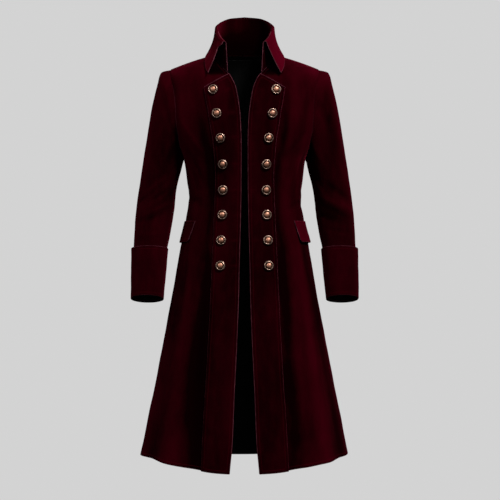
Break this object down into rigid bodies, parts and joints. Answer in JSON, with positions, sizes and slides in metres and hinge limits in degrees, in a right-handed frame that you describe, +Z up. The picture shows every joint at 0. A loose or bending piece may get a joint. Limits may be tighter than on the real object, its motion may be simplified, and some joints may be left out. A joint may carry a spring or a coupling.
{
  "type": "frock coat",
  "caption": "Knee-length fitted frock coat with a high turned-down collar, turned-back front panels with metal buttons, flap pockets and deep turned-back cuffs, filled out as if worn.",
  "frame": {"origin": "middle of the neck opening, level with the point where the collar meets the shoulder, where the wearer holds the coat up", "axes": "+Z up, the coat faces -Y, +X is the wearer's left"},
  "size_m": [0.6104, 0.4056, 1.2228],
  "materials": {
    "velvet": "deep burgundy velvet with a short pile",
    "lining": "black satin lining",
    "brass": "antique brass with a coppery dome"
  },
  "bodies": {
    "root": {"front_left": "velvet", "front_right": "velvet", "back_left": "velvet", "back_right": "velvet", "front_panel_left": "velvet", "front_panel_right": "velvet", "sleeve_left": "velvet", "sleeve_right": "velvet", "cuff_left": "velvet", "cuff_right": "velvet", "pocket_flap_left": "velvet", "pocket_flap_right": "velvet", "collar_stand": "velvet", "collar_fall": "velvet", "lining_back": "lining", "button_left_1": "brass", "button_left_2": "brass", "button_left_3": "brass", "button_left_4": "brass", "button_left_5": "brass", "button_left_6": "brass", "button_left_7": "brass", "button_left_8": "brass", "button_right_1": "brass", "button_right_2": "brass", "button_right_3": "brass", "button_right_4": "brass", "button_right_5": "brass", "button_right_6": "brass", "button_right_7": "brass", "button_right_8": "brass"}
  },
  "joints": []
}
